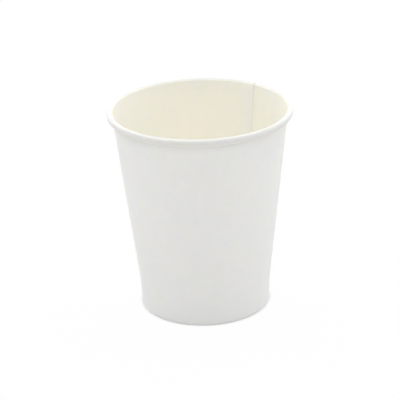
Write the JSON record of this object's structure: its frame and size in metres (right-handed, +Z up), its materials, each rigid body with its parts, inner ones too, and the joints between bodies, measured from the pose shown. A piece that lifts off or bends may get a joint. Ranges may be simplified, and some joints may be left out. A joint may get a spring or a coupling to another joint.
{
  "type": "paper coffee cup",
  "caption": "Single-wall paper cup with a rolled rim, a lapped side seam and a recessed bottom, for a hot drink.",
  "frame": {"origin": "centre of the foot, on the plane the cup stands on", "axes": "+Z up along the cup's axis, from the foot to the rim; the side seam is centred on +Y"},
  "size_m": [0.08, 0.08, 0.0905],
  "materials": {
    "wall_paperboard": "matte outside, satin coating inside",
    "bottom_paperboard": "satin coating"
  },
  "bodies": {
    "root": {"sidewall": "wall_paperboard", "bottom": "bottom_paperboard"}
  },
  "joints": []
}
